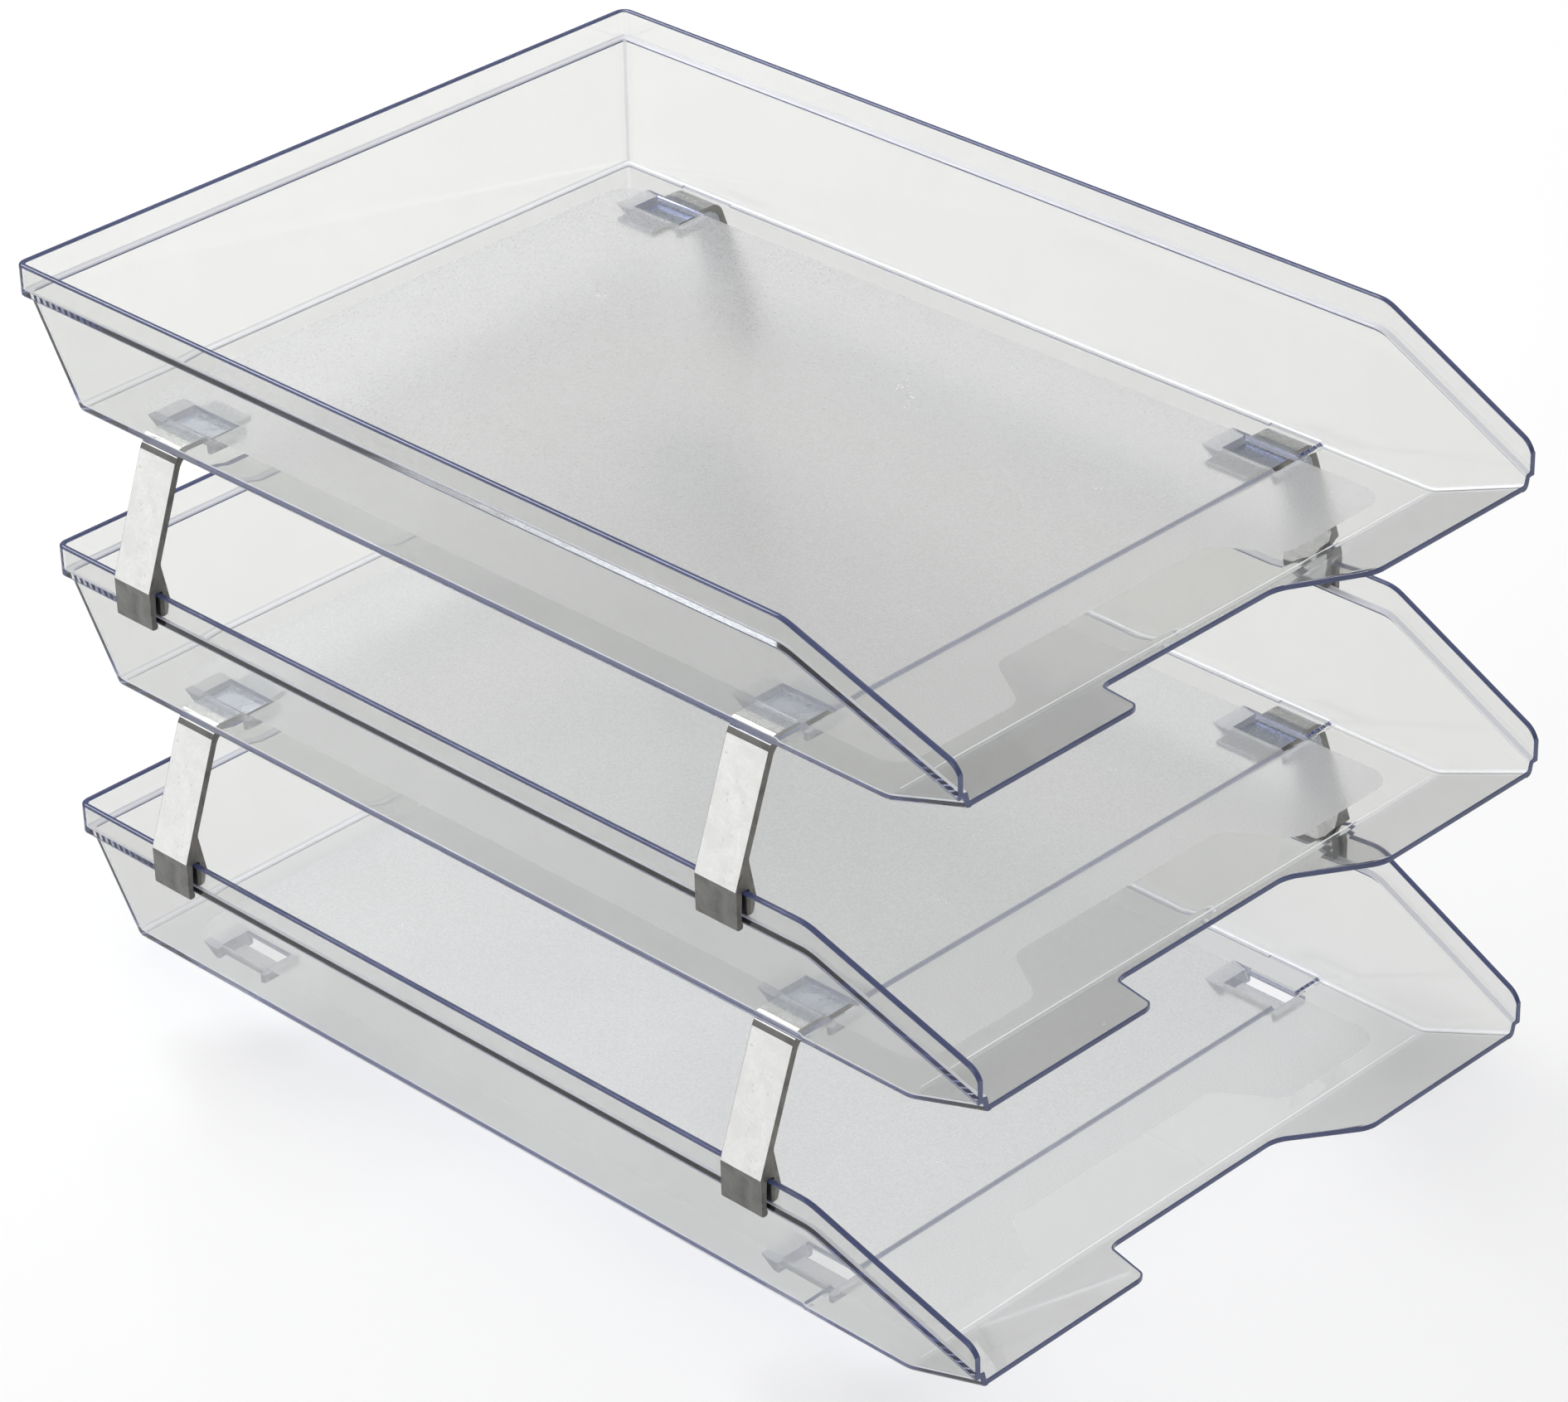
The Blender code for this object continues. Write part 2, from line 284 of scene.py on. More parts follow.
# ---------------------------------------------------------------- tray
def section(s):
    """Wall section at s as (inset, height, plan radius), from the underside round to the floor.

    Each corner below is (inset, height, fillet radius, plan radius at the back corners).
    """
    z0 = lip_rise(s)
    zu = floor_under(s)
    zf = floor_top(s)
    zt = rim_top(s)
    zb = rim_line(s) - BAND_H
    zl = rim_line(s) - LEDGE_DEPTH
    outer = wall_in(zb) - BAND_STEP
    small = FOOT_STEP_R * (zu - z0)
    corners = [
        (SEAM, zu, 0.0, 1.2),
        (wall_in(z0) + WALL_T + 0.25, zu, small, 1.2),
        (wall_in(z0) + WALL_T + 0.1, z0, small, 1.3),
        (wall_in(z0), z0, 2.1, 2.5),
        (wall_in(zb), zb, 0.3, 2.8),
        (outer, zb, 0.4, 3.5),
        (outer, zt, 0.7, 3.5),
        (outer + RIM_T, zt, 0.6, 1.6),
        (outer + RIM_T, zl, 0.45, 1.6),
        (wall_in(zl) + WALL_T, zl - 0.3, 0.6, 1.6),
        (wall_in(zf) + WALL_T, zf, 1.0, 1.4),
        (SEAM, zf, 0.0, 1.2),
    ]
    return fillet(corners, 4, closed=False)


def side_stations():
    out = [*WALL_STATIONS, POCKET_S[0], CREASE[0]]
    out += [CREASE[0] + (CREASE[1] - CREASE[0]) * k for k in CREASE_STEPS[1:]]
    out += [BEND_S + BEND_SOFT * k for k in BEND_STEPS]
    out += [FOLD_S + FOLD_R * k for k in FOLD_STEPS]
    last = TRAY_L - TIP_R
    steep = math.asin((TIP_R - EDGE_R) / TIP_R)
    for k in range(TIP_STEPS + 1):
        out.append(last + TIP_R * math.sin(steep * k / TIP_STEPS))
    return sorted(set(round(s, 4) for s in out))


EDGE_STEPS = tuple(
    (EDGE_R * (1 - math.sin(a)), EDGE_R * (1 - math.cos(a)))
    for a in (0.0, math.pi / 4, math.pi / 2)
)                                 # (inward in plan, down from the face) round the front edge
END_RINGS = len(EDGE_STEPS) - 1


def flank(ring, side):
    """A ring of (inset, s, height) placed on the left (-1) or right (1) wall."""
    return [(side * (HALF_W - d), from_back(s), z) for d, s, z in ring]


def end_rings():
    """The last sections, drawn in so that the front edge is rounded."""
    rings = []
    for away, inward in EDGE_STEPS[1:]:
        base = section(TRAY_L - EDGE_R)
        pts = shrink([(d, z) for d, z, r in base], -inward, closed=False)
        zu = floor_under(TRAY_L - EDGE_R) + inward
        zf = floor_top(TRAY_L - EDGE_R) - inward
        pts[0] = (SEAM, zu)
        pts[-1] = (SEAM, zf)
        rings.append([(d, TRAY_L - away, z) for d, z in pts])
    return rings


def loft_rings():
    """All wall sections in order, from the left tip round the back to the right tip."""
    walls = [[(d, s, z) for d, z, r in section(s)] for s in side_stations()] + end_rings()
    rings = [flank(ring, -1) for ring in reversed(walls)]
    for start in (180.0, 90.0):
        for k in range(CORNER_STEPS + 1):
            ang = math.radians(start - 90.0 * k / CORNER_STEPS)
            ring = []
            for d, z, r in section(0.0):
                cx = HALF_W - d - r
                if start > 100:
                    cx = -cx
                ring.append((cx + r * math.cos(ang), from_back(d + r) + r * math.sin(ang), z))
            rings.append(ring)
    return rings + [flank(ring, 1) for ring in walls]


def front_outline(inward):
    """Plan outline (x, s) of the lip's front edge, left to right, with the finger cut-out."""
    half = HALF_W - SEAM
    corners = [
        (-half, TRAY_L, 0.0),
        (-NOTCH_OUT_X, TRAY_L, NOTCH_R),
        (-NOTCH_IN[0], NOTCH_IN[1], NOTCH_R),
        (NOTCH_IN[0], NOTCH_IN[1], NOTCH_R),
        (NOTCH_OUT_X, TRAY_L, NOTCH_R),
        (half, TRAY_L, 0.0),
    ]
    pts = fillet(corners, NOTCH_STEPS, closed=False)
    pts = [p[:2] for p in pts]
    if inward:
        pts = shrink(pts, -inward, closed=False)
    return pts


def frost_outline():
    """Plan outline (x, s) of the frosted floor, with the polished patch behind the cut-out."""
    back, front = FROST_S
    (inner_x, inner_s), (outer_x, outer_s) = PATCH
    corners = [
        (-FROST_X, back, FROST_R),
        (FROST_X, back, FROST_R),
        (FROST_X, front, FROST_R),
        (outer_x, outer_s, PATCH_R),
        (inner_x, inner_s, PATCH_R),
        (-inner_x, inner_s, PATCH_R),
        (-outer_x, outer_s, PATCH_R),
        (-FROST_X, front, FROST_R),
    ]
    return [p[:2] for p in fillet(corners, 8)]


def inside(x, s, loop):
    """Whether a point lies in a closed outline."""
    hit = False
    n = len(loop)
    for i in range(n):
        x1, s1 = loop[i]
        x2, s2 = loop[(i + 1) % n]
        if (s1 > s) != (s2 > s) and x < x1 + (s - s1) * (x2 - x1) / (s2 - s1):
            hit = not hit
    return hit


def floor_frost_and_paint(x, s, frost):
    """Frost or painted light of a face of the floor's top, by the plan position of its centre."""
    # the crease: frosted, with painted shade
    if CREASE[0] < s < CREASE[1] and abs(x) < FROST_X:
        return CREASE_FROST_AND_SHADE
    # the fold: a painted highlight
    if abs(s - FOLD_S) < FOLD_PAINTED_GLINT * FOLD_R:
        return PAINTED_GLINT
    return FROST if inside(x, s, frost) else CLEAR


def wall_painted_light(strip, place, strips):
    """Painted light of a lofted face: strip counts the rings, place the points round a section."""
    # painted shade on the tips' end strips, the band bottom and the rim top
    if strip < END_RINGS or strip >= strips - END_RINGS or place in EDGE_SHADE_FACES:
        return EDGE_SHADE
    # painted highlight on the foot step, ledge and wall foot
    if place in PAINTED_GLINT_FACES:
        return PAINTED_GLINT
    turn = strip - (len(side_stations()) + END_RINGS)
    in_corner = 0 <= turn <= 2 * CORNER_STEPS
    # painted highlight on the middle strips of the back corners
    if place == WALL_FACE and in_corner and turn % (CORNER_STEPS + 1) in CORNER_PAINTED_GLINT:
        return PAINTED_GLINT
    return CLEAR


def fill_plan(bm, rings, height, column, frost, flip):
    """Fill the floor between the lofted walls; column picks the loft's seam point."""
    border = [(r[column][0], TRAY_L / 2 - r[column][1]) for r in rings[END_RINGS:-END_RINGS]]
    front = front_outline(EDGE_R)
    loop = border + list(reversed(front[1:-1]))
    points = [Vector(p) for p in loop]
    edges = [(i, (i + 1) % len(loop)) for i in range(len(loop))]
    half = HALF_W - SEAM
    lines = [CREASE[0] + (CREASE[1] - CREASE[0]) * k for k in CREASE_STEPS]
    lines += [FOLD_S + FOLD_R * k for k in FOLD_STEPS]
    for s in lines:
        base = len(points)
        points += [Vector((-half, s)), Vector((half, s))]
        edges.append((base, base + 1))
    if frost:
        base = len(points)
        points += [Vector(p) for p in frost]
        edges += [(base + i, base + (i + 1) % len(frost)) for i in range(len(frost))]
    verts, _, faces, _, _, _ = delaunay_2d_cdt(points, edges, [], 1, TOLERANCE)
    made = [bm.verts.new((v.x * MM, from_back(v.y) * MM, height(v.y) * MM)) for v in verts]
    for face in faces:
        cx = sum(verts[i].x for i in face) / len(face)
        cs = sum(verts[i].y for i in face) / len(face)
        if not inside(cx, cs, loop):
            continue
        new = bm.faces.new([made[i] for i in face])
        if frost:
            new.material_index = floor_frost_and_paint(cx, cs, frost)
        if (new.normal.z < 0) != flip:
            new.normal_flip()


def front_strip(bm):
    """The rounded front edge of the lip, joining top to underside."""
    base = [s for x, s in front_outline(EDGE_R)]
    rows = []
    for inward, drop in EDGE_STEPS:
        rows.append([(p[0], p[1], floor_top(s) - drop) for p, s in zip(front_outline(inward), base)])
    for inward, drop in reversed(EDGE_STEPS):
        rows.append([(p[0], p[1], floor_under(s) + drop) for p, s in zip(front_outline(inward), base)])
    grid = [[bm.verts.new((x * MM, from_back(s) * MM, z * MM)) for x, s, z in row] for row in rows]
    # the whole rounded front edge carries painted edge shade
    for a, b in zip(grid, grid[1:]):
        for i in range(len(a) - 1):
            bm.faces.new((a[i], a[i + 1], b[i + 1], b[i])).material_index = EDGE_SHADE


def tray_shell():
    bm = bmesh.new()
    rings = loft_rings()
    rows = [[bm.verts.new((x * MM, y * MM, z * MM)) for x, y, z in ring] for ring in rings]
    for k, (a, b) in enumerate(zip(rows, rows[1:])):
        for i in range(len(a) - 1):
            face = bm.faces.new((a[i], a[i + 1], b[i + 1], b[i]))
            face.material_index = wall_painted_light(k, i, len(rows) - 1)
    # the tips' end faces carry painted edge shade
    bm.faces.new(rows[0]).material_index = EDGE_SHADE
    bm.faces.new(list(reversed(rows[-1]))).material_index = EDGE_SHADE
    fill_plan(bm, rings, floor_top, -1, frost_outline(), False)
    fill_plan(bm, rings, floor_under, 0, None, True)
    front_strip(bm)
    bmesh.ops.remove_doubles(bm, verts=bm.verts, dist=WELD_SHELL)
    bmesh.ops.recalc_face_normals(bm, faces=bm.faces)
    return bm


def mesh_object(name, bm):
    mesh = bpy.data.meshes.new(name)
    bm.to_mesh(mesh)
    bm.free()
    obj = bpy.data.objects.new(name, mesh)
    bpy.context.scene.collection.objects.link(obj)
    return obj


def extrude(points, lo, hi, axis):
    """A closed prism: axis 'x' takes (y, z) points, 'y' takes (x, z) and 'z' takes (x, y)."""
    bm = bmesh.new()
    loops = []
    for level in (lo, hi):
        loop = []
        for a, b in points:
            at = {"x": (level, a, b), "y": (a, level, b), "z": (a, b, level)}[axis]
            loop.append(bm.verts.new([c * MM for c in at]))
        loops.append(loop)
    n = len(points)
    for i in range(n):
        j = (i + 1) % n
        bm.faces.new((loops[0][i], loops[0][j], loops[1][j], loops[1][i]))
    bm.faces.new(loops[0])
    bm.faces.new(loops[1])
    bmesh.ops.recalc_face_normals(bm, faces=bm.faces)
    return bm


def round_off(bm, edges, radius):
    """Round edges, and give back the new faces."""
    made = bmesh.ops.bevel(
        bm, geom=edges, offset=radius * MM, offset_type="OFFSET", segments=3, profile=0.5,
        affect="EDGES", clamp_overlap=True,
    )
    return made["faces"]


def gather(parts, face_class):
    """One bmesh from several, all with one face class."""
    whole = bmesh.new()
    for part in parts:
        for face in part.faces:
            face.material_index = face_class
        mesh = bpy.data.meshes.new("part")
        part.to_mesh(mesh)
        part.free()
        whole.from_mesh(mesh)
        bpy.data.meshes.remove(mesh)
    return whole


def housing_outline(s):
    """Side view (y, z) of a riser housing, with its long ramp towards the back."""
    pts = [
        (s - POCKET_HALF - HOUSING_T - HOUSING_RAMP, HOUSING_TOP, 0.0),
        (s - POCKET_HALF - HOUSING_T, -FOOT_DROP, 1.6),
        (s + POCKET_HALF + HOUSING_T, -FOOT_DROP, 1.2),
        (s + POCKET_HALF + HOUSING_T + HOUSING_DRAFT, HOUSING_TOP, 0.0),
    ]
    return [(from_back(a), z) for a, z in fillet(pts, 4)]


def pocket_outline(sign):
    """Cross-section of a pocket: window above, riser channel, strap below."""
    low, high = CUT_Z
    left = HOUSING_X[0] - CUT_PAST
    right = HOUSING_X[1] + CUT_PAST
    pts = [
        (left, CHANNEL_TOP, 0.0),
        (WINDOW_X[0], CHANNEL_TOP, 0.25),
        (WINDOW_X[0], high, 0.0),
        (WINDOW_X[1], high, 0.0),
        (WINDOW_X[1], CHANNEL_TOP, 0.25),
        (right, CHANNEL_TOP, 0.0),
        (right, low, 0.0),
        (STRAP_X[1], low, 0.0),
        (STRAP_X[1], STRAP_TOP, 0.0),
        (STRAP_X[0], STRAP_TOP, 0.0),
        (STRAP_X[0], low, 0.0),
        (left, low, 0.0),
    ]
    return [(sign * x, z) for x, z in fillet(pts, 3)]


def add_boolean(obj, tool, operation):
    mod = obj.modifiers.new(operation.lower(), "BOOLEAN")
    mod.operation = operation
    mod.solver = "EXACT"
    mod.object = tool


def housing_edges(bm):
    """The rim of a housing's two end faces, below the tray's floor."""
    found = []
    for e in bm.edges:
        a, b = (v.co for v in e.verts)
        if abs(a.x - b.x) < FLAT * MM and min(a.z, b.z) < HOUSING_RIM_Z * MM:
            found.append(e)
    return found


def pocket_edges(bm):
    """Sharp top edges of the pockets' windows, for rounding."""
    found = []
    length, angle, lowest = WINDOW_EDGE
    reach = POCKET_HALF + WINDOW_NEAR
    left = HOUSING_X[0] - WINDOW_NEAR
    right = HOUSING_X[1] + WINDOW_NEAR
    for e in bm.edges:
        if len(e.link_faces) != 2:
            continue
        mid = (e.verts[0].co + e.verts[1].co) / 2 / MM
        s = TRAY_L / 2 - mid.y
        near = min(abs(s - p) for p in POCKET_S)
        if not (left < abs(mid.x) < right and near < reach):
            continue
        if e.calc_length() < length * MM:
            continue
        if math.degrees(e.calc_face_angle(0.0)) > angle and mid.z > lowest:
            found.append(e)
    return found


def build_tray():
    body = mesh_object("tray_form", tray_shell())
    blocks = []
    cuts = []
    feet = []
    for sign in (-1.0, 1.0):
        for s in POCKET_S:
            lo = from_back(s + POCKET_HALF)
            hi = from_back(s - POCKET_HALF)
            x0, x1 = sorted((sign * HOUSING_X[0], sign * HOUSING_X[1]))
            block = extrude(housing_outline(s), x0, x1, "x")
            round_off(block, housing_edges(block), HOUSING_R)
            blocks.append(block)
            cuts.append(extrude(pocket_outline(sign), lo, hi, "y"))
            x0, x1 = sorted((sign * FOOT_X[0], sign * FOOT_X[1]))
            y0 = lo - FOOT_PAST
            y1 = hi + FOOT_PAST
            outline = [(x0, y0), (x1, y0), (x1, y1), (x0, y1)]
            feet.append(extrude(outline, FOOT_LOW, FOOT_NOTCH, "z"))
    tools = []
    for name, parts, operation in (
        ("blocks", blocks, "UNION"),
        ("cuts", cuts, "DIFFERENCE"),
        ("feet", feet, "DIFFERENCE"),
    ):
        # housings, windows and foot notches all carry the pockets' painted shade
        tool = mesh_object(name, gather(parts, POCKET_SHADE))
        tools.append(tool)
        add_boolean(body, tool, operation)
    graph = bpy.context.evaluated_depsgraph_get()
    mesh = bpy.data.meshes.new_from_object(body.evaluated_get(graph))
    for obj in tools + [body]:
        bpy.data.objects.remove(obj, do_unlink=True)
    bm = bmesh.new()
    bm.from_mesh(mesh)
    bmesh.ops.remove_doubles(bm, verts=bm.verts, dist=WELD_CUTS)
    bmesh.ops.recalc_face_normals(bm, faces=bm.faces)
    # the rounded window rims carry a painted highlight
    for face in round_off(bm, pocket_edges(bm), WINDOW_R):
        face.material_index = PAINTED_GLINT
    bm.to_mesh(mesh)
    bm.free()
    kinds = [poly.material_index for poly in mesh.polygons]
    for name, shares in FINISH_AND_PAINTED_LIGHT.items():
        layer = mesh.attributes.new(name, "FLOAT", "FACE")
        layer.data.foreach_set("value", [shares.get(kind, 0.0) for kind in kinds])
    mesh.polygons.foreach_set("material_index", [0] * len(kinds))
    smooth_with_sharp(mesh, TRAY_SHARP)
    return mesh


def smooth_with_sharp(mesh, degrees):
    for poly in mesh.polygons:
        poly.use_smooth = True
    mesh.set_sharp_from_angle(angle=math.radians(degrees))


def weighted(obj):
    mod = obj.modifiers.new("weighted", "WEIGHTED_NORMAL")
    mod.keep_sharp = True
    mod.weight = 80


# ---------------------------------------------------------------- risers
def leg_out(z):
    return KINK[0] - LEG_RUN * (z - KINK[1])


def riser_outline():
    corners = [
        (ARM_END_X, ARM_Z[1], 0.3),
        (ARM_FACE_X, ARM_Z[1], 0.0),
        (leg_out(ARM_Z[1]), ARM_Z[1], BEND_R_OUT),
        (KINK[0], KINK[1], 0.9),
        (KINK[0], FORK_OUT_Z, 0.8),
        (SLOT_X[1], FORK_OUT_Z, 0.75),
        (SLOT_X[1] + BEAD[0][0], FORK_OUT_Z + BEAD[0][1], 0.7),
        (SLOT_X[1] + BEAD[1][0], FORK_OUT_Z + BEAD[1][1], 0.5),
        (SLOT_X[1], SLOT_TOP, 0.4),
        (SLOT_X[0], SLOT_TOP, 0.4),
        (SLOT_X[0], FORK_IN_Z, 0.5),
        (FORK_FOOT_X, FORK_IN_Z, 0.8),
        (*FORK_WAIST, 2.0),
        (leg_out(WEDGE_Z) - LEG_T, WEDGE_Z, 3.0),
        (leg_out(ARM_Z[0]) - LEG_T, ARM_Z[0], BEND_R_IN),
        (ARM_END_X, ARM_Z[0], 0.3),
    ]
    return fillet(corners, RISER_STEPS)


def riser_light_and_shade(outline, i, outer, bend):
    """Material of the broad face that starts at point i of the outline: plain metal, painted shade or
    a painted highlight.
    """
    j = (i + 1) % len(outline)
    x = (outline[i][0] + outline[j][0]) / 2
    z = (outline[i][1] + outline[j][1]) / 2
    # painted shade on the forks and the bend's last faces
    if z < KINK[1] - FORK_SHADE_BELOW or i in bend[-BEND_SHADE_END:]:
        return FORK_SHADE
    # inside: painted shade on the arm and upper leg, plain metal below
    if i not in outer:
        return ARM_SHADE if z > WEDGE_Z else BRIGHT
    # outside: painted shade on the arm, a painted highlight on the bend
    if x < ARM_FACE_X:
        return ARM_SHADE
    return BEND_HIGHLIGHT if i in bend else BRIGHT


def riser_mesh(sign):
    outline = riser_outline()
    half = RISER_W / 2
    r = RISER_ROUND
    rings = []
    for y, inward in ((-half, r), (-half + ROUND_MID * r, ROUND_MID * r), (-half + r, 0.0)):
        rings.append([(x, y, z) for x, z in shrink(outline, -inward)])
    rings += [[(x, -y, z) for x, y, z in ring] for ring in reversed(rings)]
    bm = bmesh.new()
    rows = [[bm.verts.new((sign * x * MM, y * MM, z * MM)) for x, y, z in ring] for ring in rings]
    n = len(outline)
    lowest = min(range(n), key=lambda i: outline[i][1])
    outer = range(lowest)
    first = next(i for i in outer if outline[i][0] > ARM_FACE_X)
    bend = range(first, first + RISER_STEPS)
    broad = len(rings) // 2 - 1
    for k, (a, b) in enumerate(zip(rows, rows[1:])):
        for i in range(n):
            j = (i + 1) % n
            face = bm.faces.new((a[i], a[j], b[j], b[i]))
            face.material_index = riser_light_and_shade(outline, i, outer, bend) if k == broad else CUT
    for row in (rows[0], rows[-1]):
        bm.faces.new(row).material_index = CUT
    bmesh.ops.recalc_face_normals(bm, faces=bm.faces)
    mesh = bpy.data.meshes.new("riser")
    bm.to_mesh(mesh)
    bm.free()
    smooth_with_sharp(mesh, RISER_SHARP)
    return mesh


# ---------------------------------------------------------------- materials
class Nodes:
    """Short calls for building a node tree."""

    def __init__(self, name):
        self.mat = bpy.data.materials.new(name)
        self.mat.use_nodes = True
        self.tree = self.mat.node_tree
        self.bsdf = self.tree.nodes["Principled BSDF"]
        self.out = self.tree.nodes["Material Output"]
        self.coords = self.add("ShaderNodeTexCoord").outputs["Object"]

    def add(self, kind, **values):
        node = self.tree.nodes.new(kind)
        for key, value in values.items():
            setattr(node, key, value)
        return node

    def link(self, a, b):
        self.tree.links.new(a, b)

    def set(self, **values):
        for key, value in values.items():
            self.bsdf.inputs[key.replace("_", " ")].default_value = value

    def scaled(self, scale):
        node = self.add("ShaderNodeMapping")
        node.inputs["Scale"].default_value = scale
        self.link(self.coords, node.inputs["Vector"])
        return node.outputs["Vector"]

    def noise(self, scale, detail, rough, stretch=None, distort=0.0):
        node = self.add("ShaderNodeTexNoise")
        node.inputs["Scale"].default_value = scale
        node.inputs["Detail"].default_value = detail
        node.inputs["Roughness"].default_value = rough
        node.inputs["Distortion"].default_value = distort
        self.link(self.scaled(stretch) if stretch else self.coords, node.inputs["Vector"])
        return node.outputs["Fac"]

    def cells(self, scale):
        node = self.add("ShaderNodeTexVoronoi", feature="SMOOTH_F1")
        node.inputs["Scale"].default_value = scale
        self.link(self.coords, node.inputs["Vector"])
        return node.outputs["Distance"]

    def span(self, value, lo, hi, to_lo, to_hi):
        node = self.add("ShaderNodeMapRange")
        for key, number in (("From Min", lo), ("From Max", hi), ("To Min", to_lo), ("To Max", to_hi)):
            node.inputs[key].default_value = number
        self.link(value, node.inputs["Value"])
        return node.outputs["Result"]

    def maths(self, operation, a, b):
        node = self.add("ShaderNodeMath", operation=operation)
        for socket, value in zip(node.inputs, (a, b)):
            if isinstance(value, (int, float)):
                socket.default_value = value
            else:
                self.link(value, socket)
        return node.outputs["Value"]

    def mix(self, factor, a, b):
        """Blend of two colours; each is a tuple or a socket."""
        node = self.add("ShaderNodeMix", data_type="RGBA")
        self.link(factor, node.inputs["Factor"])
        colours = [s for s in node.inputs if s.type == "RGBA"]
        for socket, value in zip(colours, (a, b)):
            if isinstance(value, tuple):
                socket.default_value = (*value, 1.0)
            else:
                self.link(value, socket)
        return [s for s in node.outputs if s.type == "RGBA"][0]

    def bump(self, height, distance, after=None):
        node = self.add("ShaderNodeBump")
        node.inputs["Distance"].default_value = distance
        self.link(height, node.inputs["Height"])
        if after is not None:
            self.link(after, node.inputs["Normal"])
        return node.outputs["Normal"]


def plastic():
    """Clear plastic; the mesh's attributes say where it is frosted, where a dark blue-grey painted
    shade lies at an edge, crease or pocket, and where a pale painted highlight lies.

    Shadow and diffuse rays pass straight through it, so it casts no caustics.
    """
    n = Nodes("tray_plastic")
    n.set(IOR=1.56)
    absorb = n.add("ShaderNodeVolumeAbsorption")
    absorb.inputs["Color"].default_value = (0.17, 0.25, 0.60, 1.0)
    absorb.inputs["Density"].default_value = 60.0
    frost, edge, painted_glint = (
        n.add("ShaderNodeAttribute", attribute_name=name).outputs["Fac"] for name in FINISH_AND_PAINTED_LIGHT
    )
    smear = n.noise(28.0, 4.0, 0.6, distort=0.6)
    grains = n.noise(1900.0, 2.0, 0.6)
    even = n.span(smear, 0.3, 0.7, 0.0, 1.0)
    speck = n.span(grains, 0.35, 0.65, 0.0, 1.0)

    clear = n.mix(even, (0.89, 0.885, 0.825), (0.91, 0.905, 0.845))
    cloudy = n.mix(speck, (0.65, 0.65, 0.625), (0.745, 0.745, 0.72))
    # painted shade: dark blue-grey for edges, creases and pockets
    painted_edge_shade = n.mix(even, (0.060, 0.076, 0.170), (0.092, 0.112, 0.235))
    # painted highlight: near-white along fillets, ledges, the fold and window rims
    painted_highlight_white = n.mix(even, (0.93, 0.93, 0.93), (0.97, 0.97, 0.97))
    tone = n.mix(frost, clear, cloudy)
    tone = n.mix(edge, tone, painted_edge_shade)
    n.link(n.mix(painted_glint, tone, painted_highlight_white), n.bsdf.inputs["Base Color"])
    passes = n.span(frost, 0.0, 1.0, 1.0, 0.66)
    # painted shade and painted highlights let less light through, so that their colours show
    passes = n.maths("MULTIPLY", passes, n.span(edge, 0.0, 1.0, 1.0, 0.35))
    passes = n.maths("MULTIPLY", passes, n.span(painted_glint, 0.0, 1.0, 1.0, 0.35))
    n.link(passes, n.bsdf.inputs["Transmission Weight"])
    polish = n.span(smear, 0.3, 0.75, 0.0, 0.04)
    matt = n.maths("MULTIPLY", frost, n.span(grains, 0.3, 0.7, 0.17, 0.24))
    n.link(n.maths("ADD", polish, matt), n.bsdf.inputs["Roughness"])

    flow = n.noise(14.0, 2.0, 0.5, stretch=(1.0, 0.45, 1.0))
    normal = n.bump(flow, 0.00004)
    pebble = n.maths("MULTIPLY", frost, n.cells(1100.0))
    normal = n.bump(pebble, 0.00003, after=normal)
    n.link(normal, n.bsdf.inputs["Normal"])

    lets_light = n.add("ShaderNodeBsdfTransparent")
    path = n.add("ShaderNodeLightPath")
    either = n.maths("MAXIMUM", path.outputs["Is Shadow Ray"], path.outputs["Is Diffuse Ray"])
    dims = n.add("ShaderNodeMixShader")
    n.link(n.maths("MULTIPLY", either, SPARED), dims.inputs["Fac"])
    n.link(absorb.outputs["Volume"], dims.inputs[1])
    n.link(dims.outputs["Shader"], n.out.inputs["Volume"])
    joined = n.add("ShaderNodeMixShader")
    n.link(either, joined.inputs["Fac"])
    n.link(n.bsdf.outputs["BSDF"], joined.inputs[1])
    n.link(lets_light.outputs["BSDF"], joined.inputs[2])
    n.link(joined.outputs["Shader"], n.out.inputs["Surface"])
    return n.mat


def metal(name, dark, light, rough_lo, rough_hi, brush, specks=True):
    n = Nodes(name)
    n.set(Metallic=1.0)
    smear = n.noise(120.0, 5.0, 0.65, distort=1.2)
    tone = n.mix(n.span(smear, 0.3, 0.7, 0.0, 1.0), dark, light)
    if specks:
        pits = n.noise(520.0, 4.0, 0.6)
        where = n.span(pits, 0.64, 0.70, 1.0, 0.0)
        tone = n.mix(where, tuple(c * 0.88 for c in dark), tone)
    n.link(tone, n.bsdf.inputs["Base Color"])
    n.link(n.span(smear, 0.3, 0.7, rough_hi, rough_lo), n.bsdf.inputs["Roughness"])
    lines = n.noise(900.0, 3.0, 0.6, stretch=brush)
    n.link(n.bump(lines, 0.00004), n.bsdf.inputs["Normal"])
    return n.mat


